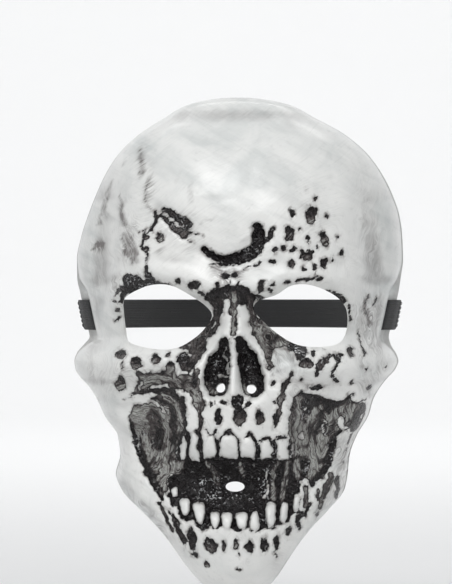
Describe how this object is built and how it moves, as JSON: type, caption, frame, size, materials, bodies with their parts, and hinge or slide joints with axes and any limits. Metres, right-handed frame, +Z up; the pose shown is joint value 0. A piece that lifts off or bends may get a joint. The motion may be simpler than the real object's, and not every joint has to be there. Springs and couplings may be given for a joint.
{
  "type": "skull mask",
  "caption": "Full-face skull mask formed from one thin plastic sheet, with open eyes, breathing holes and a black elastic head strap.",
  "frame": {"origin": "in the middle of the wearer's head, midway between the two strap slots and level with the rim there", "axes": "-Y is where the mask looks, +Z is up and +X is on the right of someone who faces the mask"},
  "size_m": [0.1652, 0.1941, 0.2445],
  "materials": {
    "white_plastic": "glossy",
    "black_elastic": "matt woven"
  },
  "bodies": {
    "root": {"mask_shell": "white_plastic", "elastic_band": "black_elastic"}
  },
  "joints": []
}
